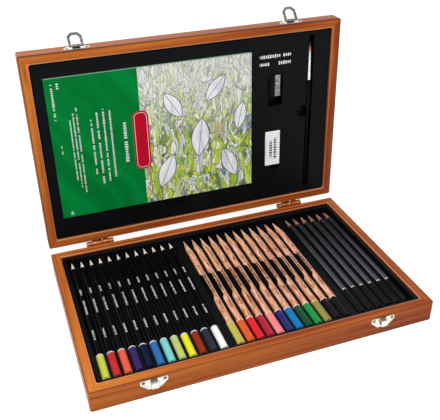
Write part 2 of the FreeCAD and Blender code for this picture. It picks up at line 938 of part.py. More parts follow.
def pencil(label, index, length, radius):
    """A round or hexagonal blank, sharpened by a cone at its back end."""
    start = (pencil_x(index), "pencil_front", "pencil_axis")
    if radius == "hex_radius":
        edge_up = ALONG_Y.multiply(Rotation(Vector(0, 0, 1), 90))
        blank = solid(
            "Prism", label + "_blank", at=start, turn=edge_up, Circumradius=radius, Height=length
        )
        blank.Polygon = 6
    else:
        blank = cylinder(label + "_blank", start, ALONG_Y, radius, length)
    slope = "(round_radius - point_tip) / point_length"
    wide = f"point_tip + {length} * {slope}"
    point = cone(label + "_point", start, ALONG_Y, wide, "point_tip", length)
    node(label, common(label + "_solid", blank, point))


def pencils():
    for group_name, first, count, radius in PENCIL_GROUPS:
        for i in range(count):
            pencil(f"{group_name}_pencil_{i + 1:02d}", first + i, f"{group_name}_length", radius)


# ---------------------------------------------------------------- contents of the lid


def drawing_pad():
    """A block of sheets in a cover that wraps round its left edge."""
    right, top = "pad_left + pad_width", "pad_low + pad_height"
    low = f"{PAD_FLOOR} + 0.3"
    high = f"{low} + pad_thickness"
    whole = block("pad_outside", ("pad_left", right), ("pad_low", top), (low, high))
    inside = block(
        "pad_inside",
        ("pad_left + pad_cover", f"{right} + 1"),
        ("pad_low - 1", f"{top} + 1"),
        (f"{low} + pad_board", f"{high} - pad_cover"),
    )
    node("pad_cover", cut("pad_wrapper", whole, inside), LID)
    sheets = block(
        "pad_block",
        ("pad_left + pad_cover", f"{right} - 0.5"),
        ("pad_low + 0.5", f"{top} - 0.5"),
        (f"{low} + pad_board", f"{high} - pad_cover"),
    )
    node("pad_sheets", group("pad_sheets_block", sheets), LID)


def sharpener():
    """A wedge sharpener: waisted block, tapered hole, and a blade screwed over its side."""
    half_w, half_l = "sharpener_width / 2", "sharpener_length / 2"
    low, high = f"{FLOOR} + 0.3", f"{FLOOR} + 0.3 + sharpener_height"
    blank = block(
        "sharpener_blank",
        (f"sharpener_x - {half_w}", f"sharpener_x + {half_w}"),
        (f"sharpener_y - {half_l}", f"sharpener_y + {half_l}"),
        (low, high),
    )
    waists = [
        cylinder(
            f"sharpener_waist_{side}",
            (f"sharpener_x + {side} * ({half_w} + 27.6)", "sharpener_y", f"{low} - 1"),
            Rotation(),
            "29",
            "sharpener_height + 2",
        )
        for side in (-1, 1)
    ]
    slope = "(sharpener_mouth - sharpener_exit) / sharpener_length"
    tilt = math.degrees(math.atan(value(slope)))
    hole = cone(
        "sharpener_hole",
        (
            "blade_x - blade_width / 2 - 0.2",
            f"sharpener_y - {half_l} - 1.2",
            f"{high} - sharpener_mouth - 0.9 - 1.2 * {slope}",
        ),
        Rotation(Vector(1, 0, 0), tilt).multiply(ALONG_Y),
        f"sharpener_mouth + 1.2 * {slope}",
        "sharpener_exit",
        "sharpener_length + 1.6",
    )
    seat_z = f"{high} - blade_thickness - 0.35"
    seat = block(
        "blade_seat",
        ("blade_x - blade_width / 2 - 0.1", "blade_x + blade_width / 2 + 0.1"),
        (f"sharpener_y - {half_l} - 1", f"sharpener_y + {half_l} + 1"),
        (seat_z, f"{high} + 1"),
    )
    thread = cylinder(
        "screw_hole",
        ("blade_x + 0.4", "sharpener_y + 1.6", f"{seat_z} - 3.4"),
        Rotation(),
        "1.12",
        "5",
    )
    body = cut("sharpener_block", blank, *waists, hole, seat, thread)
    node("sharpener_body", body, LID)
    blade = block(
        "blade_strip",
        ("blade_x - blade_width / 2", "blade_x + blade_width / 2"),
        ("sharpener_y - blade_length / 2", "sharpener_y + blade_length / 2"),
        (seat_z, f"{seat_z} + blade_thickness"),
    )
    node("sharpener_blade", cut("blade_drilled", blade, thread), LID)
    shank = cylinder(
        "screw_shank", ("blade_x + 0.4", "sharpener_y + 1.6", f"{seat_z} - 3"), Rotation(), "1.1", "3.6"
    )
    head = cone(
        "screw_head",
        ("blade_x + 0.4", "sharpener_y + 1.6", f"{seat_z} + blade_thickness"),
        Rotation(),
        "1.9",
        "1.5",
        "0.7",
    )
    node("sharpener_screw", fuse("screw", shank, head), LID)


def eraser():
    body = new_body("eraser")
    outline = sketch(body, "eraser_outline", lift=f"{FLOOR} + 0.3")
    half_w, half_l = "eraser_width / 2", "eraser_length / 2"
    rectangle(
        outline,
        (f"eraser_x - {half_w}", f"eraser_x + {half_w}"),
        (f"eraser_y - {half_l}", f"eraser_y + {half_l}"),
    )
    feature(body, "Pad", "eraser_slab", outline, Length="eraser_height")
    round_edges(body, "eraser_edges", "0.8", lambda box: True)
    node("eraser", body, LID)


def brush():
    """A round brush: turned handle, seamless ferrule over its tenon, and pointed bristles."""
    toward_handle = ALONG_Y.multiply(Rotation(Vector(1, 0, 0), 180))
    neck = "brush_tip - bristle_length - ferrule_length"

    def at(y):
        return ("brush_x", y, "brush_axis")

    tip = cone("bristle_tip", at("brush_tip"), toward_handle, "0.3", "bristle_radius", "bristle_length")
    root_radius = "bristle_radius - ferrule_sheet - 0.02"
    root_start = at("brush_tip - bristle_length")
    root = cylinder("bristle_root", root_start, toward_handle, root_radius, "6")
    node("brush_bristles", fuse("bristles", tip, root), LID)
    shell = cone(
        "ferrule_outside", root_start, toward_handle, "bristle_radius", "ferrule_radius", "ferrule_length"
    )
    hollow = cone(
        "ferrule_inside",
        root_start,
        toward_handle,
        "bristle_radius - ferrule_sheet",
        "ferrule_radius - ferrule_sheet",
        "ferrule_length",
    )
    node("brush_ferrule", cut("ferrule", shell, hollow), LID)
    slope = "(ferrule_radius - bristle_radius) / ferrule_length"
    tenon_end = f"ferrule_radius - ferrule_sheet - 0.02 - tenon_length * {slope}"
    tenon = cone(
        "handle_tenon",
        at(f"{neck} + tenon_length"),
        toward_handle,
        tenon_end,
        "ferrule_radius - ferrule_sheet - 0.02",
        "tenon_length",
    )
    swell = cone("handle_swell", at(neck), toward_handle, "ferrule_radius", "handle_radius", "18")
    taper = cone(
        "handle_taper",
        at(f"{neck} - 18"),
        toward_handle,
        "handle_radius",
        "handle_end",
        "handle_length - 18",
    )
    node("brush_handle", fuse("handle", tenon, swell, taper), LID)


# ---------------------------------------------------------------- the whole box


def fittings():
    """Nails through the fittings, and the rails they are driven into, base then lid."""
    hinge_xs = pair_of("hinge_spacing", "hinge_length / 3")
    catch_xs = pair_of("catch_spacing", CATCH_NAIL_X)
    leaf_face = f"{HALF_D} + leaf_thickness"
    plate_face = f"{HALF_D} + catch_sheet"
    keeper_z = "base_height - keeper_top - ear_nail"
    hinge_z = f"base_height + {HINGE_NAIL_Z}"
    front, front_holes = nail_row("keeper", catch_xs, f"-({plate_face})", keeper_z, -1)
    back, back_holes = nail_row("base_hinge", hinge_xs, leaf_face, hinge_z, 1)
    node("base_nails", group("base_nail_set", *front, *back))
    frame = case_frame("base_frame", "base_height")
    case_rails("base", frame, {"front": front_holes, "back": back_holes})
    catch_z = "lid_height - catch_pivot_back + catch_lip - ear_nail"
    hinge_z = f"lid_height + {HINGE_NAIL_Z}"
    catch, catch_holes = nail_row("catch", catch_xs, plate_face, catch_z, 1)
    hinge, hinge_holes = nail_row("lid_hinge", hinge_xs, f"-({leaf_face})", hinge_z, -1)
    node("lid_nails", group("lid_nail_set", *catch, *hinge), LID)
    frame = case_frame("lid_frame", "lid_height")
    case_rails("lid", frame, {"front": hinge_holes, "back": catch_holes}, LID, swapped=True)


def check_document():
    for made in DOC.Objects:
        if "Invalid" in made.State or "Error" in made.State:
            raise ValueError(f"{made.Name} failed: {made.State}")
    for made in NODES:
        if made.Shape.isNull() or not made.Shape.isValid():
            raise ValueError(f"{made.Label} has no valid shape")


def export_nodes():
    os.makedirs("parts", exist_ok=True)
    for made in NODES:
        made.Shape.exportStep(f"parts/{made.Label}.step")


def main():
    fittings()
    case_panel("base", "base_bottom_panel")
    case_panel("lid", "lid_top_panel", LID)
    hinges()
    catches()
    base_tray()
    lid_tray()
    pencils()
    drawing_pad()
    sharpener()
    eraser()
    brush()
    DOC.recompute()
    check_document()
    export_nodes()
    print(len(NODES), "nodes")


main()
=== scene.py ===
"""The looks of the pencil box: materials for its parts, printed matter, light and camera.

Lengths that come from the frame are in metres; node trees work in millimetres.
Lid places are (x, along, out) in millimetres: along the lid from the hinge axis,
and out of the tray from the plane of the lid's rim.
"""

import json
import math

import bmesh
import bpy
from mathutils import Matrix, Vector


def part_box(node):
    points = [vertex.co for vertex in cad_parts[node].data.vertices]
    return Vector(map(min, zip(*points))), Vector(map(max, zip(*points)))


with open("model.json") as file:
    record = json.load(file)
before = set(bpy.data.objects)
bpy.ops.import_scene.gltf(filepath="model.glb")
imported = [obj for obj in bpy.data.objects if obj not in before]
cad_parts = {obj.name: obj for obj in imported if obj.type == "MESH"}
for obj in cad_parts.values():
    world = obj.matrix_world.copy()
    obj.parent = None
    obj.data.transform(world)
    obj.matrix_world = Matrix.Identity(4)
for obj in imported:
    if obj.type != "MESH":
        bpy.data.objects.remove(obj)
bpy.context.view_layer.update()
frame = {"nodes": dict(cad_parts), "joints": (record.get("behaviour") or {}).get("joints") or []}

MM = 0.001
NODES = frame["nodes"]

LID_HINGE = next(j for j in frame["joints"] if j["name"] == "box_lid_hinge")
HINGE_AT = Vector(LID_HINGE["pos_m"])
LID_LEAN = math.radians(180 + min(LID_HINGE["range_deg"]))
LID_UP = Vector((0, math.cos(LID_LEAN), math.sin(LID_LEAN)))
LID_OUT = Vector((0, -math.sin(LID_LEAN), math.cos(LID_LEAN)))

# The case, in millimetres. The lid's middle lies over the base's when the box is closed.
RAIL_LOW, RAIL_HIGH = (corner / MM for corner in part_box("base_front_rail"))
HALF_WIDTH = RAIL_HIGH.x
HALF_DEPTH = -RAIL_LOW.y
RIM = RAIL_HIGH.z
RAIL = 9.0
ARRIS = 1.1
LID_MIDDLE = HINGE_AT.y / MM
LID_DEPTH = 17.0
LOOP_LOW, LOOP_HIGH = (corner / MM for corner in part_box("left_catch_loop"))
CATCH_X = -(LOOP_LOW.x + LOOP_HIGH.x) / 2


def srgb(red, green, blue):
    """A colour as a screen shows it, 0 to 255, as Blender's linear colour."""
    parts = [c / 255 for c in (red, green, blue)]
    linear = [c / 12.92 if c <= 0.04045 else ((c + 0.055) / 1.055) ** 2.4 for c in parts]
    return (*linear, 1)


# ---------------------------------------------------------------- camera, light and floor

CAMERA_AT = Vector((-0.193058, -0.503042, 0.434313))
CAMERA_AZIMUTH = math.radians(-19.757)
CAMERA_ELEVATION = math.radians(31.81)
CAMERA_ROLL = math.radians(-0.576)
CAMERA_LENS = 55.58
CAMERA_SENSOR = 36

WHITE = (1, 1, 1, 1)
SKY = (0.97, 0.98, 1, 1)
SKY_LEVEL = 0.42

LAMPS_AIM = Vector((0, 0.03, 0.08))
LAMPS = (
    # name, place, size, watts
    ("key", (-0.5, -0.6, 1.35), 0.9, 18),
    ("fill", (0.9, -0.8, 0.7), 0.9, 3),
    ("back", (0.1, 1.0, 1.1), 0.8, 3),
)

FLOOR_REACH = 6
FLOOR_ALBEDO = 0.45
FLOOR_GLOW = 0.8


def add_camera():
    data = bpy.data.cameras.new("camera")
    data.lens = CAMERA_LENS
    data.sensor_width = CAMERA_SENSOR
    data.clip_start = 0.01
    camera = bpy.data.objects.new("camera", data)
    level = math.cos(CAMERA_ELEVATION)
    back = Vector(
        (
            math.sin(CAMERA_AZIMUTH) * level,
            -math.cos(CAMERA_AZIMUTH) * level,
            math.sin(CAMERA_ELEVATION),
        )
    )
    right = (-back).cross(Vector((0, 0, 1))).normalized()
    up = right.cross(-back)
    roll = Matrix.Rotation(CAMERA_ROLL, 3, back)
    axes = Matrix((roll @ right, roll @ up, back)).transposed()
    camera.matrix_world = Matrix.Translation(CAMERA_AT) @ axes.to_4x4()
    bpy.context.scene.collection.objects.link(camera)
    bpy.context.scene.camera = camera


def add_lamp(name, at, size, watts):
    """A square softbox that faces the box."""
    data = bpy.data.lights.new(name, "AREA")
    data.size = size
    data.energy = watts
    lamp = bpy.data.objects.new(name, data)
    lamp.location = at
    aim = LAMPS_AIM - lamp.location
    lamp.rotation_euler = aim.to_track_quat("-Z", "Y").to_euler()
    bpy.context.scene.collection.objects.link(lamp)


def larger_of(tree, first, second):
    made = tree.nodes.new("ShaderNodeMath")
    made.operation = "MAXIMUM"
    tree.links.new(first, made.inputs[0])
    tree.links.new(second, made.inputs[1])
    return made.outputs[0]


def seen_directly(tree):
    """1 for a ray from the camera, a mirror-like or a clear surface, 0 for a ray of the soft light."""
    path = tree.nodes.new("ShaderNodeLightPath")
    reflected = larger_of(tree, path.outputs["Is Camera Ray"], path.outputs["Is Glossy Ray"])
    return larger_of(tree, reflected, path.outputs["Is Transmission Ray"])


def light_world():
    """Soft light from all round, with a white backdrop."""
    world = bpy.data.worlds.new("studio")
    bpy.context.scene.world = world
    world.use_nodes = True
    tree = world.node_tree
    lighting = tree.nodes["Background"]
    lighting.inputs["Color"].default_value = SKY
    lighting.inputs["Strength"].default_value = SKY_LEVEL
    backdrop = tree.nodes.new("ShaderNodeBackground")
    backdrop.inputs["Color"].default_value = WHITE
    mix = tree.nodes.new("ShaderNodeMixShader")
    tree.links.new(seen_directly(tree), mix.inputs[0])
    tree.links.new(lighting.outputs[0], mix.inputs[1])
    tree.links.new(backdrop.outputs[0], mix.inputs[2])
    tree.links.new(mix.outputs[0], tree.nodes["World Output"].inputs["Surface"])


def add_floor():
    """A pale floor: its lit part shows white, and the box's shadow stays on it."""
    mesh = bpy.data.meshes.new("floor")
    form = bmesh.new()
    bmesh.ops.create_grid(form, x_segments=1, y_segments=1, size=FLOOR_REACH)
    form.to_mesh(mesh)
    form.free()
    floor = bpy.data.objects.new("floor", mesh)
    bpy.context.scene.collection.objects.link(floor)
    material = bpy.data.materials.new("floor")
    material.use_nodes = True
    tree = material.node_tree
    shader = tree.nodes["Principled BSDF"]
    shader.inputs["Base Color"].default_value = (FLOOR_ALBEDO, FLOOR_ALBEDO, FLOOR_ALBEDO, 1)
    shader.inputs["Roughness"].default_value = 0.9
    shader.inputs["Specular IOR Level"].default_value = 0
    shader.inputs["Emission Color"].default_value = WHITE
    strength = tree.nodes.new("ShaderNodeMath")
    strength.operation = "MULTIPLY"
    strength.inputs[1].default_value = FLOOR_GLOW
    tree.links.new(seen_directly(tree), strength.inputs[0])
    tree.links.new(strength.outputs[0], shader.inputs["Emission Strength"])
    mesh.materials.append(material)


bpy.context.scene.view_settings.view_transform = "Standard"
add_camera()
light_world()
for lamp in LAMPS:
    add_lamp(*lamp)
add_floor()


# ---------------------------------------------------------------- node trees


class Shade:
    """One material, built with short calls. Places in it are in millimetres at rest."""

    def __init__(self, name, **settings):
        self.material = bpy.data.materials.new(name)
        self.material.use_nodes = True
        self.tree = self.material.node_tree
        self.shader = self.tree.nodes["Principled BSDF"]
        texture_space = self.node("ShaderNodeTexCoord").outputs["Object"]
        self.place = self.vector("SCALE", texture_space, scale=1 / MM)
        self.set(**settings)

    def set(self, **settings):
        """Shader sockets by name, such as coat_weight for Coat Weight."""
        for name, value in settings.items():
            title = name.replace("_", " ").title().replace("Ior", "IOR")
            self.put(self.shader.inputs[title], value)

    def put(self, socket, value):
        """Links a socket to the value's node, or sets it to the value."""
        if isinstance(value, bpy.types.NodeSocket):
            self.tree.links.new(value, socket)
        else:
            socket.default_value = value

    def node(self, kind, **settings):
        made = self.tree.nodes.new(kind)
        for name, value in settings.items():
            setattr(made, name, value)
        return made

    def math(self, operation, *values):
        made = self.node("ShaderNodeMath", operation=operation)
        for socket, value in zip(made.inputs, values):
            self.put(socket, value)
        return made.outputs[0]

    def vector(self, operation, first, second=None, scale=None):
        made = self.node("ShaderNodeVectorMath", operation=operation)
        self.put(made.inputs[0], first)
        if second is not None:
            self.put(made.inputs[1], second)
        if scale is not None:
            self.put(made.inputs["Scale"], scale)
        return made.outputs["Value" if operation in ("DOT_PRODUCT", "LENGTH") else "Vector"]

    def parts(self, vector):
        made = self.node("ShaderNodeSeparateXYZ")
        self.put(made.inputs[0], vector)
        return made.outputs[0], made.outputs[1], made.outputs[2]

    def joined(self, x, y=0.0, z=0.0):
        made = self.node("ShaderNodeCombineXYZ")
        for socket, value in zip(made.inputs, (x, y, z)):
            self.put(socket, value)
        return made.outputs[0]

    def noise(self, place, stretch, detail=2.0, roughness=0.5, warp=0.0, colour=False):
        """Noise with one feature for each 1 / stretch millimetres."""
        made = self.node("ShaderNodeTexNoise")
        self.put(made.inputs["Vector"], self.vector("MULTIPLY", place, stretch))
        self.put(made.inputs["Scale"], 1.0)
        self.put(made.inputs["Detail"], detail)
        self.put(made.inputs["Roughness"], roughness)
        self.put(made.inputs["Distortion"], warp)
        return made.outputs["Color" if colour else "Fac"]

    def random(self, x, y, z):
        """A random number from 0 to 1 for each set of three numbers."""
        made = self.node("ShaderNodeTexWhiteNoise", noise_dimensions="3D")
        self.put(made.inputs["Vector"], self.joined(x, y, z))
        return made.outputs["Value"]

    def fade(self, value, low, high, to_low=0.0, to_high=1.0, curve="LINEAR"):
        """to_low below low, to_high above high, and a ramp between."""
        made = self.node("ShaderNodeMapRange", interpolation_type=curve)
        for socket, part in zip(made.inputs, (value, low, high, to_low, to_high)):
            self.put(socket, part)
        return made.outputs["Result"]

    def within(self, value, low, high, soft=0.08):
        """1 where value lies from low to high, with edges soft by that much to each side."""
        above = self.fade(value, low - soft, low + soft)
        below = self.fade(value, high - soft, high + soft, 1.0, 0.0)
        return self.math("MULTIPLY", above, below)

    def all_of(self, *masks):
        total = masks[0]
        for mask in masks[1:]:
            total = self.math("MULTIPLY", total, mask)
        return total

    def any_of(self, *masks):
        total = masks[0]
        for mask in masks[1:]:
            total = self.math("MAXIMUM", total, mask)
        return total

    def mix(self, factor, first, second):
        made = self.node("ShaderNodeMix", data_type="RGBA")
        self.put(made.inputs["Factor"], factor)
        self.put(made.inputs[6], first)
        self.put(made.inputs[7], second)
        return made.outputs[2]

    def ramp(self, value, *stops, hard=False):
        """Colours at places from 0 to 1, as (place, colour)."""
        made = self.node("ShaderNodeValToRGB")
        self.put(made.inputs[0], value)
        ramp = made.color_ramp
        ramp.interpolation = "CONSTANT" if hard else "LINEAR"
        while len(ramp.elements) < len(stops):
            ramp.elements.new(1.0)
        for element, (at, colour) in zip(ramp.elements, stops):
            element.position = at
            element.color = colour
        return made.outputs["Color"]

    def relief(self, height, depth, strength):
        """Bump of the given depth in millimetres."""
        made = self.node("ShaderNodeBump")
        self.put(made.inputs["Strength"], strength)
        self.put(made.inputs["Distance"], depth * MM)
        self.put(made.inputs["Height"], height)
        self.put(self.shader.inputs["Normal"], made.outputs[0])

    def on_lid(self):
        """This place as (x, along, out) on the lid."""
        from_hinge = self.vector("SUBTRACT", self.place, tuple(HINGE_AT / MM))
        x = self.parts(self.place)[0]
        along = self.vector("DOT_PRODUCT", from_hinge, tuple(LID_UP))
        out = self.vector("DOT_PRODUCT", from_hinge, tuple(LID_OUT))
        return x, along, out

    def from_catch(self, x):
        """How far x is from the middle of the nearer catch; the outer side counts as positive."""
        return self.math("SUBTRACT", self.math("ABSOLUTE", x), CATCH_X)


def dress(name, material):
    """Gives one CAD node its material."""
    mesh = NODES[name].data
    mesh.materials.clear()
    mesh.materials.append(material)


def dress_all(names, material):
    for name in names:
        dress(name, material)


# Bars of a row: half heights in row sizes, the share of each pitch that a bar fills,
# and how many of the places hold one.
BAR_HEIGHTS = (0.3, 0.5)
BAR_FROM, BAR_TO = 0.14, 0.8
BAR_SHARE = 0.86


def bar_row(shade, across, up, at, size, low, high, pitch):
    """A row of plain bars of unequal height, in words, where print would stand; no lettering."""
    place = shade.math("DIVIDE", up, pitch)
    step = shade.math("FLOOR", place)
    shortest, tallest = (size * share for share in BAR_HEIGHTS)
    height = shade.fade(shade.random(step, at, pitch), 0.0, 1.0, shortest, tallest)
    aside = shade.math("ABSOLUTE", shade.math("SUBTRACT", across, at))
    line = shade.fade(shade.math("SUBTRACT", height, aside), -0.08, 0.08)
    bar = shade.within(shade.math("FRACT", place), BAR_FROM, BAR_TO, 0.05)
    kept = shade.math("LESS_THAN", shade.random(step, pitch, at), BAR_SHARE)
    return shade.all_of(line, shade.within(up, low, high, 0.1), bar, kept)


def bar_rows(shade, across, up, rows):
    """Rows given as (at, size, low, high, pitch)."""
    return shade.any_of(*(bar_row(shade, across, up, *row) for row in rows))


# ---------------------------------------------------------------- wood

WOOD_DARK = srgb(138, 56, 18)
WOOD_MID = srgb(182, 94, 32)
WOOD_LIGHT = srgb(212, 126, 50)
# Red-brown painted shade for the lid, low down and on its front rail's outer side.
WOOD_SHADE_RED = srgb(112, 38, 16)
WOOD_LINE = srgb(100, 38, 8)
# Painted shade for the outer edges and the foot, a painted highlight for the inner edge, and painted
# shade for the inner wall.
EDGE_SHADE = srgb(84, 30, 6)
EDGE_HIGHLIGHT = srgb(236, 180, 132)
WALL_SHADE = srgb(40, 16, 6)

# How strongly each of these covers the stain, from 0 to 1.
LINE_COVER = 0.4
PORE_COVER = 0.3
# Painted shade on the outer edges, towards the foot and on the inner wall.
OUTER_SHADE_COVER = 0.6
FOOT_SHADE_COVER = 0.6
WALL_COVER = 0.85
STREAK_COVER = 0.8
KEEPER_SHADOW_COVER = 0.7
# The lid's painted shade, low down and on the front rail's outer side.
LID_LOW_SHADE_COVER = 0.42
LID_TOP_SHADE_COVER = 0.58
LID_ARRIS_COVER = 0.55

STREAK_SHARE = 0.35
FOOT_HEIGHT = 2.6
STREAK_RISE = (-6.8, -6.0)
STREAK_FADES = (-150, -92)
# Where the painted shadow over each keeper plate lies.
KEEPER_SHADOW_HALF = 9.5
KEEPER_SHADOW_RISE = (-2.3, -1.3)
WINDOW_HALF = 3.9
WINDOW_OUT = (-7.5, -0.4)
# Where the lid's painted shade low down fades out, along the lid from the hinge.
LID_LOW_SHADE_ALONG = (10, 140)


class WoodShade(Shade):
    """Orange-brown stain under a satin lacquer, with painted shade on its outer edges, foot and inner
    walls, and a painted highlight on its inner edges.
    """

    def __init__(self, name, grain_axis):
        super().__init__(name, roughness=0.42, specular_ior_level=0.14)
        self.set(coat_weight=0.04, coat_roughness=0.2)
        self.axis = grain_axis
        self.x, self.y, self.z = self.parts(self.place)

    def grain(self, along, across, **settings):
        """Noise stretched along the grain."""
        stretch = [along if i == self.axis else across for i in range(3)]
        return self.noise(self.place, stretch, **settings)

    def stain(self, left, right):
        """Broad figure, fine streaks and pores, with painted light falloff: the tone shifts from left
        to right.
        """
        figure = self.grain(0.004, 0.09, detail=2, warp=0.3)
        streaks = self.grain(0.012, 1.3, detail=3, roughness=0.6)
        broad = self.math("MULTIPLY", figure, 1 - STREAK_SHARE)
        tone = self.math("MULTIPLY_ADD", streaks, STREAK_SHARE, broad)
        # Painted light falloff, shifting the tone from left to right.
        tone = self.math("ADD", tone, self.fade(self.x, -HALF_WIDTH, HALF_WIDTH, left, right))
        colour = self.ramp(tone, (0.34, WOOD_DARK), (0.5, WOOD_MID), (0.66, WOOD_LIGHT))
        lines = self.grain(0.003, 0.34, detail=2, warp=0.15)
        lines = self.fade(lines, 0.6, 0.66, 0.0, LINE_COVER)
        pores = self.fade(self.grain(0.13, 3.4, detail=1), 0.62, 0.7, 0.0, PORE_COVER)
        self.relief(self.math("SUBTRACT", streaks, pores), 0.03, 0.4)
        return self.mix(self.math("MAXIMUM", lines, pores), colour, WOOD_LINE)

    def edged(self, colour, across, half, rise, depth, highlight_share):
        """Painted shade on the outer edges and towards the foot, a painted highlight on the inner edge,
        and painted shade on the wall under it.

        across is measured from the middle of the box to outer edges at half, and rise
        from the rim down to -depth.
        """
        inner = half - RAIL
        near_rim = self.fade(rise, -ARRIS - 0.1, -ARRIS + 0.1)
        inner_edge = self.fade(across, inner + ARRIS - 0.2, inner + ARRIS + 0.2, 1.0, 0.0)
        pale = self.all_of(inner_edge, near_rim, highlight_share)
        wall = self.all_of(
            self.fade(across, inner + 0.1, inner + 0.3, 1.0, 0.0),
            self.fade(rise, -ARRIS - 0.6, -ARRIS, 1.0, 0.0),
            WALL_COVER,
        )
        outer = self.all_of(self.fade(across, half - ARRIS, half - 0.5), near_rim, OUTER_SHADE_COVER)
        foot = self.fade(rise, -depth + 0.3, -depth + FOOT_HEIGHT, FOOT_SHADE_COVER, 0.0)
        # Painted shade on the outer edges and towards the foot, a painted highlight on the inner edge,
        # painted shade on the wall.
        colour = self.mix(self.any_of(outer, foot), colour, EDGE_SHADE)
        colour = self.mix(pale, colour, EDGE_HIGHLIGHT)
        return self.mix(wall, colour, WALL_SHADE)


def base_wood(name, grain_axis):
    """The base's rails; the painted highlight on the inner edges is strongest on the right."""
    shade = WoodShade(name, grain_axis)
    lengthwise = grain_axis == 0
    across = shade.math("ABSOLUTE", shade.y if lengthwise else shade.x)
    half = HALF_DEPTH if lengthwise else HALF_WIDTH
    rise = shade.math("SUBTRACT", shade.z, RIM)
    # How strongly the painted highlight shows on the inner edges.
    highlight_share = 0.35 if lengthwise else shade.fade(shade.x, -10, 10, 0.3, 0.85)
    colour = shade.stain(0.06, -0.15)
    if lengthwise:
        colour = shade.mix(long_streak(shade, rise), colour, WOOD_LINE)
        # Painted shadow above the keeper plates.
        colour = shade.mix(over_keepers(shade, rise), colour, WALL_SHADE)
    shade.set(base_color=shade.edged(colour, across, half, rise, RIM, highlight_share))
    return shade.material


def long_streak(shade, rise):
    """One dark line along the front face below the rim, that fades out to the right."""
    line = shade.within(rise, *STREAK_RISE, 0.2)
    on_face = shade.math("LESS_THAN", shade.y, -HALF_DEPTH + 0.3)
    return shade.all_of(line, on_face, shade.fade(shade.x, *STREAK_FADES, STREAK_COVER, 0.0))


def over_keepers(shade, rise):
    """Painted shadow in the corner between the wood and the top edge of each keeper plate."""
    beside = shade.within(shade.from_catch(shade.x), -KEEPER_SHADOW_HALF, KEEPER_SHADOW_HALF, 0.8)
    on_face = shade.math("LESS_THAN", shade.y, -HALF_DEPTH + 0.6)
    return shade.all_of(beside, shade.within(rise, *KEEPER_SHADOW_RISE, 0.3), on_face, KEEPER_SHADOW_COVER)


def lid_wood(name, grain_axis):
    """The base's stain, with red-brown painted shade low down and on the outer side of the front rail.
    """
    shade = WoodShade(name, grain_axis)
    lengthwise = grain_axis == 0
    x, along, out = shade.on_lid()
    from_middle = shade.math("SUBTRACT", along, LID_MIDDLE)
    across = shade.math("ABSOLUTE", from_middle if lengthwise else x)
    half = HALF_DEPTH if lengthwise else HALF_WIDTH
    colour = shade.stain(0.08, 0.05 if lengthwise else -0.09)
    # Painted shade, red-brown, on the lower part of the lid near the hinge.
    low = shade.fade(along, *LID_LOW_SHADE_ALONG, LID_LOW_SHADE_COVER, 0.0)
    colour = shade.mix(low, colour, WOOD_SHADE_RED)
    if lengthwise:
        # Painted shade on the outer side of the front rail.
        top = shade.fade(from_middle, HALF_DEPTH - 0.5, HALF_DEPTH - 0.1, 0.0, LID_TOP_SHADE_COVER)
        colour = shade.mix(top, colour, WOOD_SHADE_RED)
        colour = shade.mix(under_catches(shade, x, from_middle, out), colour, WALL_SHADE)
    # The inner edges carry a painted highlight at 0.4.
    shade.set(base_color=shade.edged(colour, across, half, out, LID_DEPTH, 0.4))
    return shade.material


def under_catches(shade, x, from_middle, out):
    """Painted shade on the wood in the window of each catch plate, and along the edge of the rim."""
    window = shade.all_of(
        shade.within(shade.from_catch(x), -WINDOW_HALF, WINDOW_HALF),
        shade.within(out, *WINDOW_OUT),
        shade.math("GREATER_THAN", from_middle, HALF_DEPTH - 0.3),
    )
    line = shade.all_of(
        shade.fade(from_middle, HALF_DEPTH - 1.3, HALF_DEPTH - 0.9),
        shade.fade(out, -1.3, -0.9),
        LID_ARRIS_COVER,
    )
    return shade.any_of(window, line)


def panel_wood():
    """The two thin panels, which have no worked edges in sight."""
    shade = WoodShade("panel_wood", 0)
    shade.set(base_color=shade.stain(0.02, -0.04))
    return shade.material


def dress_wood():
    dress_all(["base_front_rail", "base_back_rail"], base_wood("base_wood_along_x", 0))
    dress_all(["base_left_rail", "base_right_rail"], base_wood("base_wood_along_y", 1))
    dress_all(["lid_front_rail", "lid_back_rail"], lid_wood("lid_wood_along_x", 0))
    dress_all(["lid_left_rail", "lid_right_rail"], lid_wood("lid_wood_upright", 2))
    dress_all(["base_bottom_panel", "lid_top_panel"], panel_wood())


dress_wood()


# ---------------------------------------------------------------- trays and metal

TRAY_BLACK = (srgb(3, 5, 8), srgb(8, 12, 16))
TRAY_PRINT = srgb(232, 234, 236)
TRAY_PRINT_ROWS = (
    # along, size, low, high, pitch
    (178.0, 4.2, 74, 109, 2.5),
    (170.1, 4.2, 74, 109, 2.5),
)
TRAY_FACE_OUT = -3.2

BRIGHT_NICKEL = (srgb(214, 208, 200), srgb(244, 240, 233))
DULL_NICKEL = (srgb(84, 84, 76), srgb(124, 122, 112))
LOOP_NICKEL = (srgb(76, 79, 76), srgb(138, 141, 136))
# Brown that stands in for the wood's reflection in the hinge: a painted reflection.
HINGE_BROWN = (srgb(128, 76, 42), srgb(176, 110, 66))
PIN_STEEL = (srgb(40, 26, 18), srgb(66, 44, 32))
# Darker nickel: painted shade on the keepers' hooks, and darker curls and rings round the nails.
DARKER_NICKEL = srgb(92, 92, 80)

NAIL_ASIDE = 9.4
KEEPER_NAIL_Z = 17.6
CATCH_NAIL_OUT = -4.6
HOOK_HALF = 3.1
HOOK_BEND_Z = (16.0, 17.4)


class TrayShade(Shade):
    """Thin black sheet with a fine matt grain."""

    def __init__(self, name):
        super().__init__(name, specular_ior_level=0.08)
        grit = self.noise(self.place, (4, 4, 4), detail=2)
        haze = self.noise(self.place, (0.03, 0.03, 0.03), detail=3)
        self.black = self.ramp(haze, (0.3, TRAY_BLACK[0]), (0.75, TRAY_BLACK[1]))
        self.set(base_color=self.black)
        self.set(roughness=self.fade(grit, 0.3, 0.7, 0.4, 0.55))
        self.relief(grit, 0.02, 0.3)


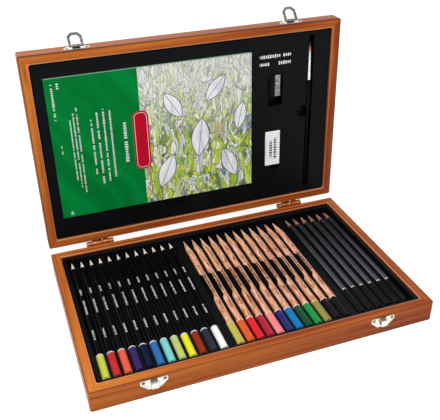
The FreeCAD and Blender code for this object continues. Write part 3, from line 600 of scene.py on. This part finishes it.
def printed_tray():
    """The lid's tray, with two plain rows of bars above the sharpener; no lettering."""
    shade = TrayShade("lid_tray_plastic")
    x, along, out = shade.on_lid()
    on_face = shade.math("GREATER_THAN", out, TRAY_FACE_OUT)
    rows = shade.all_of(bar_rows(shade, along, x, TRAY_PRINT_ROWS), on_face)
    shade.set(base_color=shade.mix(rows, shade.black, TRAY_PRINT))
    return shade.material


def nickel(name, dark, light, rough, darkened=None, darker_colour=DARKER_NICKEL):
    """Plated steel with fine scratches, and darker where the mask says."""
    shade = Shade(name, metallic=1.0)
    scratches = shade.noise(shade.place, (0.6, 9, 9), detail=3)
    blotches = shade.noise(shade.place, (0.35, 0.35, 0.35), detail=3)
    colour = shade.ramp(blotches, (0.35, dark), (0.65, light))
    if darkened:
        colour = shade.mix(darkened(shade), colour, darker_colour)
    shade.set(base_color=colour)
    shade.set(roughness=shade.fade(scratches, 0.3, 0.7, rough - 0.06, rough + 0.12))
    shade.relief(scratches, 0.01, 0.4)
    return shade.material


def nail_rings(shade, from_catch, height, nail_height):
    """Darker rings round the two nails of a plate."""
    aside = shade.math("SUBTRACT", shade.math("ABSOLUTE", from_catch), NAIL_ASIDE)
    rise = shade.math("SUBTRACT", height, nail_height)
    reach = shade.vector("LENGTH", shade.joined(aside, rise))
    return shade.fade(reach, 1.4, 1.9, 0.9, 0.0)


def keeper_darkening(shade):
    """Painted shade on the bend of the hook and the sheet over it, and darker rings round the nails."""
    x, _, z = shade.parts(shade.place)
    from_catch = shade.from_catch(x)
    hook = shade.within(from_catch, -HOOK_HALF, HOOK_HALF, 0.2)
    # Painted shade on the upper part of the hook and the sheet over it.
    bend = shade.all_of(hook, shade.fade(z, *HOOK_BEND_Z), 0.85)
    return shade.any_of(bend, nail_rings(shade, from_catch, z, KEEPER_NAIL_Z))


def catch_darkening(shade):
    """The curl that holds the loop, and the rings round the nails."""
    x, along, out = shade.on_lid()
    from_middle = shade.math("SUBTRACT", along, LID_MIDDLE)
    curl = shade.fade(from_middle, HALF_DEPTH + 0.8, HALF_DEPTH + 1.2, 0.0, 0.9)
    return shade.any_of(curl, nail_rings(shade, shade.from_catch(x), out, CATCH_NAIL_OUT))


def dress_trays_and_metal():
    dress("base_tray", TrayShade("base_tray_plastic").material)
    dress("lid_tray", printed_tray())
    # The hinge's brown is a painted reflection of the wood.
    hinge_metal = nickel("hinge_brown_metal", *HINGE_BROWN, 0.4)
    dress_all(["hinge_base_leaves", "hinge_lid_leaves"], hinge_metal)
    dress("hinge_pins", nickel("pin_steel", *PIN_STEEL, 0.4))
    dress("catch_plates", nickel("catch_nickel", *BRIGHT_NICKEL, 0.3, catch_darkening))
    dress("keeper_plates", nickel("keeper_nickel", *BRIGHT_NICKEL, 0.3, keeper_darkening))
    dress_all(["base_nails", "lid_nails"], nickel("dull_nickel", *DULL_NICKEL, 0.34))
    dress_all(["left_catch_loop", "right_catch_loop"], nickel("loop_nickel", *LOOP_NICKEL, 0.3))


dress_trays_and_metal()


# ---------------------------------------------------------------- pencils

BARREL_WOOD = (srgb(170, 96, 66), srgb(230, 162, 131), srgb(255, 216, 190))
GOLDEN_WOOD = (srgb(158, 96, 62), srgb(216, 154, 115), srgb(248, 204, 166))
TINTED_POINT_WOOD = (srgb(196, 134, 98), srgb(228, 176, 138), srgb(246, 208, 176))
POINT_WOOD = (srgb(232, 204, 178), srgb(248, 230, 210), srgb(255, 246, 234))
DULL_POINT_WOOD = (srgb(112, 78, 60), srgb(152, 114, 92), srgb(190, 152, 126))

BLACK_LACQUER = srgb(4, 4, 6)
FOIL = srgb(188, 188, 192)
WHITE_RING = srgb(206, 206, 212)
FLANK_SHADE = srgb(48, 8, 1)
PANEL_BLACK = srgb(10, 6, 6)
BROWN_PRINT = srgb(56, 26, 18)
PALE_RING = srgb(236, 200, 176)
GREY_LACQUER = srgb(12, 13, 16)
# Painted sheen on the top facet of the sketching pencils, and painted highlights at its edges.
FACET_SHEEN = srgb(66, 68, 73)
GLINT_GREY = srgb(120, 123, 130)
END_BLACK = srgb(3, 4, 6)
SILVER_RING = srgb(206, 208, 212)
GRAPHITE = srgb(60, 50, 50)

# Lengths along a pencil, in millimetres.
LEAD_LENGTH = 2.2
RING_WIDTH = 1.4
CONE_LENGTH = 22.0
DIP_LENGTH = 28.0
BLACK_END_LENGTH = 34.0
HEX_SIDE = 3.9
DASH_PITCH = 1.1
RAGGED_DEPTH = 2.4

# The black panel of the watercolour pencils: where its edge swells and shrinks, how far
# the edge is aside from the middle at the narrow part, and how much wider it grows.
PANEL_SWELLS = (61, 71)
PANEL_SHRINKS = (103, 110)
PANEL_ASIDE = -4.1
PANEL_GROWTH = 3.0

COLOUR_PRINT = (
    # width, low, high, fill
    (1.6, 115, 124.5, 0.84),
    (1.6, 85, 106, 0.84),
    (1.6, 48, 61.5, 0.84),
)
WATERCOLOUR_PRINT = (
    (1.5, 116, 122, 0.92),
    (1.9, 74, 106, 0.88),
    (1.5, 48, 60, 0.8),
)

COLOUR_DIPS = [
    (196, 204, 74),
    (190, 46, 44),
    (226, 92, 66),
    (56, 38, 92),
    (14, 24, 54),
    (46, 106, 170),
    (120, 206, 200),
    (188, 198, 116),
    (226, 226, 44),
    (142, 46, 30),
    (42, 46, 56),
    (245, 245, 245),
]
WATERCOLOUR_DIPS = [
    (196, 182, 84),
    (222, 92, 44),
    (228, 36, 44),
    (176, 36, 54),
    (252, 138, 142),
    (42, 44, 108),
    (18, 122, 184),
    (22, 78, 50),
    (26, 146, 70),
    (152, 142, 66),
    (18, 18, 20),
    (16, 16, 18),
]
SKETCHING_PENCILS = 6


class PencilShade(Shade):
    """A pencil's material, with places measured on that pencil."""

    def __init__(self, node, **settings):
        super().__init__(node, **settings)
        low, high = (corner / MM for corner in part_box(node))
        centre = (low + high) / 2
        x, y, _ = self.parts(self.place)
        self.aside = self.math("SUBTRACT", x, centre.x)
        self.from_middle = self.math("ABSOLUTE", self.aside)
        self.from_end = self.math("SUBTRACT", y, low.y)
        self.from_tip = self.math("SUBTRACT", high.y, y)
        normal = self.node("ShaderNodeNewGeometry").outputs["True Normal"]
        self.sharpened = self.fade(self.parts(normal)[1], 0.08, 0.1)
        self.seed = centre.x

    def bare_wood(self, tones):
        streaks = self.noise(self.place, (0.8, 0.07, 0.8), detail=4, roughness=0.6, warp=0.3)
        return self.ramp(streaks, (0.34, tones[0]), (0.5, tones[1]), (0.64, tones[2]))

    def print_row(self, side, width, low, high, fill):
        """Small dashes in a line along the barrel, from low to high off the end; no lettering."""
        line = self.within(side, -width / 2, width / 2, 0.12)
        stretch = self.within(self.from_end, low, high, 0.12)
        place = self.math("DIVIDE", self.from_end, DASH_PITCH)
        step = self.math("FLOOR", place)
        row = self.math("FLOOR", self.math("MULTIPLY", side, 2.4 / width))
        chance = self.random(step, row, self.seed)
        dashes = self.fade(chance, fill - 0.01, fill + 0.01, 1.0, 0.0)
        ink = self.fade(self.math("FRACT", place), 0.82, 0.86, 1.0, 0.0)
        return self.all_of(line, stretch, dashes, ink)

    def print_rows(self, side, rows):
        """Rows given as (width, low, high, fill)."""
        return self.any_of(*(self.print_row(side, *row) for row in rows))

    def finish_with(self, paint, dip, ring, lead, bare, dip_length=DIP_LENGTH, wood=POINT_WOOD):
        """Bare wood with a ragged edge at the point, painted barrel, ring and dipped end."""
        end = self.math("LESS_THAN", self.from_end, dip_length)
        band = self.within(self.from_end, dip_length, dip_length + RING_WIDTH, 0.1)
        paint = self.mix(end, paint, dip)
        paint = self.mix(band, paint, ring)
        in_lead = self.math("LESS_THAN", self.from_tip, LEAD_LENGTH)
        point = self.mix(in_lead, self.bare_wood(wood), lead)
        ragged = self.noise(self.place, (0.9, 0.0, 0.9), detail=1)
        cut = self.math("MULTIPLY_ADD", ragged, RAGGED_DEPTH, self.from_tip)
        is_bare = self.fade(cut, bare + 1.1, bare + 1.3, 1.0, 0.0)
        self.set(base_color=self.mix(self.math("MULTIPLY", self.sharpened, is_bare), paint, point))
        self.set(roughness=self.fade(self.sharpened, 0.0, 1.0, 0.3, 0.7))
        return self.material


def colour_pencil(node, dip):
    """Round, black lacquer with foil dashes, a white ring and a dipped end."""
    shade = PencilShade(node, specular_ior_level=0.07)
    marks = shade.print_rows(shade.aside, COLOUR_PRINT)
    paint = shade.mix(marks, BLACK_LACQUER, FOIL)
    lead = shade.mix(0.55, srgb(*dip), srgb(150, 110, 96))
    return shade.finish_with(paint, srgb(*dip), WHITE_RING, lead, bare=12.0)


def panel_edge(shade):
    """Where the black panel ends, aside from the pencil's middle."""
    swell = shade.fade(shade.from_end, *PANEL_SWELLS, 0.0, PANEL_GROWTH, curve="SMOOTHSTEP")
    shrink = shade.fade(shade.from_end, *PANEL_SHRINKS, 0.0, PANEL_GROWTH, curve="SMOOTHSTEP")
    return shade.math("ADD", PANEL_ASIDE, shade.math("SUBTRACT", swell, shrink))


def watercolour_pencil(node, dip):
    """Hexagonal, clear-lacquered wood with a black panel, dark dashes and painted shade on the flanks.
    """
    shade = PencilShade(node, specular_ior_level=0.12)
    golden = shade.math("MULTIPLY", shade.random(shade.seed, 7.0, 3.0), 0.8)
    paint = shade.mix(golden, shade.bare_wood(BARREL_WOOD), shade.bare_wood(GOLDEN_WOOD))
    # Painted shade on the flanks.
    flank = shade.fade(shade.from_middle, 2.6, 3.4, 0.0, 0.9)
    past_edge = shade.math("SUBTRACT", shade.aside, panel_edge(shade))
    panel = shade.fade(past_edge, -0.1, 0.1, 1.0, 0.0)
    marks = shade.print_rows(shade.math("SUBTRACT", shade.aside, 0.3), WATERCOLOUR_PRINT)
    paint = shade.mix(marks, paint, BROWN_PRINT)
    paint = shade.mix(flank, paint, FLANK_SHADE)
    paint = shade.mix(panel, paint, PANEL_BLACK)
    lead = shade.mix(0.6, srgb(*dip), srgb(206, 160, 130))
    return shade.finish_with(
        paint, srgb(*dip), PALE_RING, lead, bare=CONE_LENGTH, wood=TINTED_POINT_WOOD
    )


def sketching_pencil(node):
    """Hexagonal, dark grey lacquer with a painted sheen on the top facet and painted highlights at its
    edges, both fading away from the end; a silver ring and a black end.
    """
    shade = PencilShade(node, specular_ior_level=0.15)
    facet_edge = HEX_SIDE / 2
    facet = shade.math("LESS_THAN", shade.from_middle, facet_edge)
    glints = shade.within(shade.from_middle, facet_edge - 0.75, facet_edge - 0.05, 0.1)
    # The painted sheen and highlights are strongest near the end and fade towards the point.
    near = shade.fade(shade.from_end, 36, 130, 1.0, 0.2)
    paint = shade.mix(shade.math("MULTIPLY", facet, near), GREY_LACQUER, FACET_SHEEN)
    paint = shade.mix(shade.math("MULTIPLY", glints, near), paint, GLINT_GREY)
    return shade.finish_with(
        paint,
        dip=END_BLACK,
        ring=shade.mix(facet, END_BLACK, SILVER_RING),
        lead=GRAPHITE,
        bare=15.0,
        dip_length=BLACK_END_LENGTH,
        wood=DULL_POINT_WOOD,
    )


def dress_pencils():
    for number, dip in enumerate(COLOUR_DIPS, start=1):
        node = f"colour_pencil_{number:02d}"
        dress(node, colour_pencil(node, dip))
    for number, dip in enumerate(WATERCOLOUR_DIPS, start=1):
        node = f"watercolour_pencil_{number:02d}"
        dress(node, watercolour_pencil(node, dip))
    for number in range(1, SKETCHING_PENCILS + 1):
        node = f"sketching_pencil_{number:02d}"
        dress(node, sketching_pencil(node))


dress_pencils()


# ---------------------------------------------------------------- pad

# Places on the pad are (across, up) in millimetres from its lower left corner.
PAD_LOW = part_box("pad_cover")[0] / MM
PAD_FOOT = (PAD_LOW.z - HINGE_AT.z / MM) / math.sin(LID_LEAN)
PICTURE_FROM = 89.7
TOP_EDGE_UP = 149.5

GREEN_DARK = srgb(0, 116, 48)
GREEN_LIGHT = srgb(0, 134, 58)
EDGE_GREEN = srgb(150, 196, 166)
INK_WHITE = srgb(226, 236, 228)
LABEL_RED = srgb(190, 14, 44)
LABEL_LINE = srgb(236, 206, 206)

TEXT_ROWS = (
    # across, size, low, high, pitch
    (72.9, 3.8, 51, 96, 2.6),
    (59.2, 2.2, 38, 111, 1.7),
    (52.8, 2.2, 34, 113, 1.7),
    (46.4, 2.2, 32, 113, 1.7),
    (40.2, 2.2, 44, 104, 1.7),
    (27.2, 1.6, 26, 121, 1.3),
    (23.6, 1.6, 32, 114, 1.3),
    (20.0, 1.6, 41, 106, 1.3),
    (12.5, 2.4, 138, 145, 2.1),
    (6.8, 2.4, 108, 144, 2.1),
    (8.9, 1.2, 72, 81, 1.3),
    (9.9, 3.4, 3, 7, 2.2),
)

LABEL_AT = (89.4, 73.5)
LABEL_HALF = (8.4, 32.0)
LABEL_ROUND = 7.0

STROKE_INKS = (
    (0.0, srgb(172, 208, 40)),
    (0.14, srgb(222, 236, 98)),
    (0.27, srgb(100, 132, 50)),
    (0.36, srgb(216, 226, 238)),
    (0.49, srgb(250, 250, 226)),
    (0.61, srgb(92, 122, 166)),
    (0.68, srgb(196, 226, 76)),
    (0.8, srgb(254, 250, 252)),
    (0.94, srgb(200, 170, 116)),
)
STROKES = (0.26, 0.034, 1)
FINE_STROKES = (0.5, 0.06, 1)
FINE_SHARE = 0.22
SWAY = 22.0
HAZE = srgb(244, 242, 244)
STROKE_EDGE = srgb(66, 82, 62)
LEAF_SHADE = srgb(214, 216, 230)
LEAF_WHITE = srgb(246, 245, 248)
LEAF_LINE = srgb(96, 100, 120)

LEAVES = (
    # across, up, length, width, lean in degrees
    (114, 34, 40, 18, 24),
    (124, 106, 34, 16, -32),
    (152, 66, 44, 20, 8),
    (170, 118, 34, 15, 40),
    (184, 32, 38, 17, -22),
    (197, 84, 32, 14, 12),
)


def pad_cover():
    """Printed card: a green panel with plain rows of bars, and a meadow of loose strokes."""
    shade = Shade("pad_cover", roughness=0.5, specular_ior_level=0.05)
    x, along, _ = shade.on_lid()
    across = shade.math("SUBTRACT", x, PAD_LOW.x)
    up = shade.math("SUBTRACT", along, PAD_FOOT)
    in_picture = shade.math("GREATER_THAN", across, PICTURE_FROM)
    colour = shade.mix(in_picture, green_panel(shade, across, up), meadow(shade, across, up))
    colour = shade.mix(shade.math("GREATER_THAN", up, TOP_EDGE_UP), colour, EDGE_GREEN)
    past_label = rounded(shade, across, up, LABEL_AT, LABEL_HALF, LABEL_ROUND)
    on_label = shade.fade(past_label, -0.1, 0.1, 1.0, 0.0)
    colour = shade.mix(on_label, colour, label_face(shade, past_label))
    shade.set(base_color=colour)
    return shade.material


def green_panel(shade, across, up):
    """Green with faint slanting bands of light, and rows of plain bars."""
    slope = shade.math("MULTIPLY_ADD", up, 0.62, across)
    bend = shade.noise(shade.joined(across, up), (0.012, 0.012, 1), detail=1)
    bands = shade.noise(shade.joined(shade.math("MULTIPLY_ADD", bend, 70.0, slope)), (0.03, 1, 1))
    colour = shade.ramp(bands, (0.44, GREEN_DARK), (0.6, GREEN_LIGHT))
    return shade.mix(bar_rows(shade, across, up, TEXT_ROWS), colour, INK_WHITE)


def rounded(shade, across, up, centre, half, radius):
    """How far a place is outside a rounded rectangle, negative inside."""
    aside = shade.math("ABSOLUTE", shade.math("SUBTRACT", across, centre[0]))
    rise = shade.math("ABSOLUTE", shade.math("SUBTRACT", up, centre[1]))
    beside = shade.math("MAXIMUM", shade.math("SUBTRACT", aside, half[0] - radius), 0.0)
    above = shade.math("MAXIMUM", shade.math("SUBTRACT", rise, half[1] - radius), 0.0)
    reach = shade.vector("LENGTH", shade.joined(beside, above))
    return shade.math("SUBTRACT", reach, radius)


def label_face(shade, past_label):
    """A plain label over the edge between the panel and the meadow: red with one thin line."""
    line = shade.within(past_label, -2.3, -1.7, 0.1)
    return shade.mix(line, LABEL_RED, LABEL_LINE)


def strokes(shade, flat, stretch, seed):
    """Long cells that lean and sway, in stroke inks, and a mask of their thin dark edges."""
    shifted = shade.vector("ADD", flat, (seed, seed, 0))
    drift = shade.noise(shifted, (0.03, 0.022, 1), detail=2, colour=True)
    drift = shade.vector("SUBTRACT", drift, (0.5, 0.5, 0.5))
    swayed = shade.vector("ADD", flat, shade.vector("SCALE", drift, scale=SWAY))
    bent = shade.vector("MULTIPLY", swayed, stretch)
    cells = shade.node("ShaderNodeTexVoronoi", feature="F1")
    walls = shade.node("ShaderNodeTexVoronoi", feature="DISTANCE_TO_EDGE")
    for voronoi in (cells, walls):
        shade.put(voronoi.inputs["Vector"], bent)
        shade.put(voronoi.inputs["Scale"], 1.0)
    inks = shade.ramp(shade.parts(cells.outputs["Color"])[0], *STROKE_INKS, hard=True)
    return inks, shade.fade(walls.outputs["Distance"], 0.01, 0.09, 1.0, 0.0)


def leaf(shade, across, up, at, height, length, width, lean):
    """A pointed leaf: 1 inside, and its outline with one vein."""
    turn = math.radians(lean)
    aside = shade.math("SUBTRACT", across, at)
    rise = shade.math("SUBTRACT", up, height)
    u = shade.math("MULTIPLY_ADD", rise, math.cos(turn), shade.math("MULTIPLY", aside, math.sin(turn)))
    v = shade.math("MULTIPLY_ADD", aside, math.cos(turn), shade.math("MULTIPLY", rise, -math.sin(turn)))
    taper = shade.math("MULTIPLY", shade.math("MULTIPLY", u, u), 2.0 * width / length**2)
    room = shade.math("SUBTRACT", width / 2, taper)
    inside = shade.math("SUBTRACT", room, shade.math("ABSOLUTE", v))
    vein = shade.math("MULTIPLY", shade.within(v, -0.3, 0.3), shade.fade(inside, 0.0, 0.2))
    line = shade.math("MAXIMUM", shade.within(inside, -0.2, 0.7), vein)
    return shade.fade(inside, -0.1, 0.1), line


def meadow(shade, across, up):
    """Grass-like strokes in lime, blue and cream with pale leaves, fading towards the top."""
    flat = shade.joined(across, up)
    inks, edges = strokes(shade, flat, STROKES, 0.0)
    fine_inks, fine_edges = strokes(shade, flat, FINE_STROKES, 40.0)
    inks = shade.mix(FINE_SHARE, inks, fine_inks)
    haze = shade.noise(flat, (0.05, 0.05, 1), detail=3)
    height = shade.math("MULTIPLY_ADD", haze, 60.0, up)
    pale = shade.fade(height, 96, 165, 0.0, 0.7)
    colour = shade.mix(pale, inks, HAZE)
    lines = shade.math("MAXIMUM", edges, shade.math("MULTIPLY", fine_edges, 0.5))
    lines = shade.math("MULTIPLY", lines, shade.fade(pale, 0.0, 0.7, 0.85, 0.6))
    colour = shade.mix(lines, colour, STROKE_EDGE)
    shadow = shade.noise(flat, (0.12, 0.04, 1), detail=2)
    white = shade.ramp(shadow, (0.35, LEAF_SHADE), (0.6, LEAF_WHITE))
    for shape in LEAVES:
        inside, line = leaf(shade, across, up, *shape)
        colour = shade.mix(inside, colour, white)
        colour = shade.mix(line, colour, LEAF_LINE)
    return colour


def paper_edges():
    """The edges of the leaves of paper, as fine lines along the block."""
    shade = Shade("paper_edges", roughness=0.8)
    _, _, out = shade.on_lid()
    leaves = shade.math("SINE", shade.math("MULTIPLY", out, 28.0))
    shade.set(base_color=shade.ramp(leaves, (0.2, srgb(206, 204, 196)), (0.8, srgb(244, 243, 238))))
    shade.relief(leaves, 0.05, 0.6)
    return shade.material


def dress_pad():
    dress("pad_cover", pad_cover())
    dress("pad_sheets", paper_edges())


dress_pad()


# ---------------------------------------------------------------- sharpener, eraser and brush

MOULDED_BLACK = (srgb(3, 3, 5), srgb(8, 9, 11))
BRUSH_BLACK = (srgb(4, 4, 6), srgb(9, 9, 12))
BLADE_STEEL = (srgb(106, 106, 108), srgb(146, 146, 148))
SCREW_STEEL = (srgb(120, 120, 122), srgb(170, 170, 172))
BLADE_EDGE_DARK = srgb(16, 16, 18)
FERRULE_METAL = (srgb(206, 206, 208), srgb(238, 238, 238))
VINYL_WHITE = (srgb(246, 246, 247), srgb(254, 254, 254))
VINYL_PRINT = srgb(6, 7, 10)
TAN_HAIR = (srgb(168, 108, 80), srgb(222, 164, 132))
HAIR_SHADE = srgb(54, 26, 18)

ERASER_ROWS = (
    # across, size, low, high, pitch
    (6.4, 3.8, 10, 30, 2.9),
    (11.4, 3.8, 8, 33, 2.9),
)


def moulded_black(name):
    """Black plastic with a fine grit."""
    shade = Shade(name, roughness=0.4, specular_ior_level=0.06)
    grit = shade.noise(shade.place, (6, 6, 6), detail=1)
    shade.set(base_color=shade.ramp(grit, (0.3, MOULDED_BLACK[0]), (0.7, MOULDED_BLACK[1])))
    shade.relief(grit, 0.02, 0.3)
    return shade.material


def eraser_vinyl():
    """White vinyl with two plain dark rows of bars."""
    shade = Shade("eraser_vinyl", roughness=0.55, subsurface_weight=0.1)
    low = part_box("eraser")[0] / MM
    x, along, _ = shade.on_lid()
    across = shade.math("SUBTRACT", x, low.x)
    up = shade.math("SUBTRACT", along, (low.z - HINGE_AT.z / MM) / math.sin(LID_LEAN))
    smudge = shade.noise(shade.place, (0.2, 0.2, 0.2), detail=3)
    white = shade.ramp(smudge, (0.3, VINYL_WHITE[0]), (0.6, VINYL_WHITE[1]))
    rows = bar_rows(shade, across, up, ERASER_ROWS)
    shade.set(base_color=shade.mix(rows, white, VINYL_PRINT))
    return shade.material


def brush_bristles():
    """Fine tan hair, with painted shade towards the tip where it lies in its recess."""
    shade = Shade("brush_bristles", roughness=0.5)
    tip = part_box("brush_bristles")[1].z / MM
    hairs = shade.noise(shade.place, (7, 0.3, 0.3), detail=3)
    tan = shade.ramp(hairs, (0.3, TAN_HAIR[0]), (0.7, TAN_HAIR[1]))
    # Painted shade towards the tip.
    near_tip = shade.fade(shade.parts(shade.place)[2], tip - 9, tip - 3)
    shade.set(base_color=shade.mix(near_tip, tan, HAIR_SHADE))
    shade.relief(hairs, 0.08, 0.8)
    return shade.material


def brush_lacquer():
    """Black lacquer of the brush handle."""
    shade = Shade("brush_lacquer", roughness=0.3, specular_ior_level=0.06)
    haze = shade.noise(shade.place, (0.4, 0.4, 0.4), detail=2)
    shade.set(base_color=shade.ramp(haze, (0.3, BRUSH_BLACK[0]), (0.7, BRUSH_BLACK[1])))
    return shade.material


def darker_blade_edge(shade):
    """The blade, darker along its cutting edge on the left."""
    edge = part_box("sharpener_blade")[0].x / MM
    return shade.fade(shade.parts(shade.place)[0], edge + 1.7, edge + 2.1, 0.95, 0.0)


def dress_loose_things():
    dress("sharpener_body", moulded_black("sharpener_black"))
    dress("sharpener_blade", nickel("blade_steel", *BLADE_STEEL, 0.32, darker_blade_edge, BLADE_EDGE_DARK))
    dress("sharpener_screw", nickel("screw_steel", *SCREW_STEEL, 0.32))
    dress("eraser", eraser_vinyl())
    dress("brush_handle", brush_lacquer())
    dress("brush_ferrule", nickel("ferrule", *FERRULE_METAL, 0.2))
    dress("brush_bristles", brush_bristles())


dress_loose_things()
